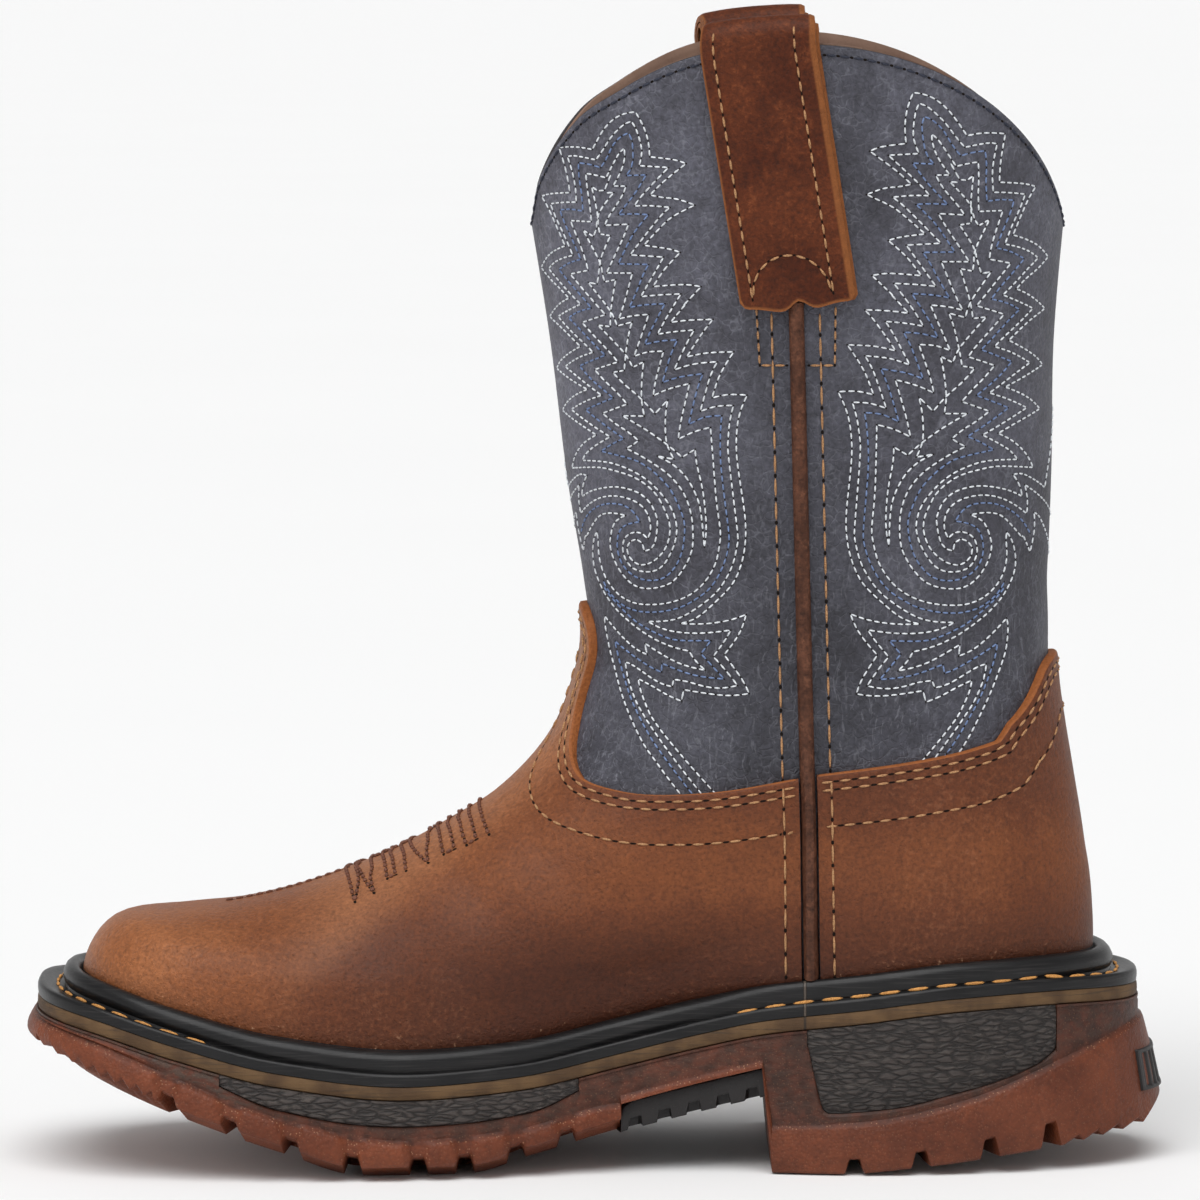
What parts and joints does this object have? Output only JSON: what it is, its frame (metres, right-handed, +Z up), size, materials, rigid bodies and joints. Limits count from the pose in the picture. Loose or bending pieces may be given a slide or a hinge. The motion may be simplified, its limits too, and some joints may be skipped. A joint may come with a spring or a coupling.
{
  "type": "western boot",
  "caption": "Pull-on western boot for the right foot: tan vamp and counter, stitched blue-grey shaft, pull straps, storm welt and a lugged rubber sole with a block heel.",
  "frame": {"origin": "on the floor, under the middle of the boot's box", "axes": "+Z up, the toe points to -X and the heel to +X, the inner side of the foot faces -Y"},
  "size_m": [0.2196, 0.0868, 0.2226],
  "materials": {
    "brown_rubber": "matt moulded rubber with a fine stipple",
    "dark_rubber": "matt dark rubber with a bark grain",
    "midsole_brown": "matt",
    "welt_black": "semi-gloss",
    "insole_board": "matt board",
    "shaft_leather": "oiled leather with light scuffs, brown lining",
    "tan_leather": "oiled leather with a soft nap",
    "trim_leather": "smooth leather",
    "strap_leather": "oiled leather"
  },
  "bodies": {
    "root": {"outsole": "brown_rubber", "forefoot_insert_medial": "dark_rubber", "forefoot_insert_lateral": "dark_rubber", "heel_insert_medial": "dark_rubber", "heel_insert_lateral": "dark_rubber", "shank_insert": "dark_rubber", "heel_plate": "dark_rubber", "midsole": "midsole_brown", "welt": "welt_black", "insole": "insole_board", "upper": "shaft_leather", "vamp": "tan_leather", "counter": "tan_leather", "piping_medial": "trim_leather", "piping_lateral": "trim_leather", "pull_strap_medial": "strap_leather", "pull_strap_lateral": "strap_leather"}
  },
  "joints": []
}
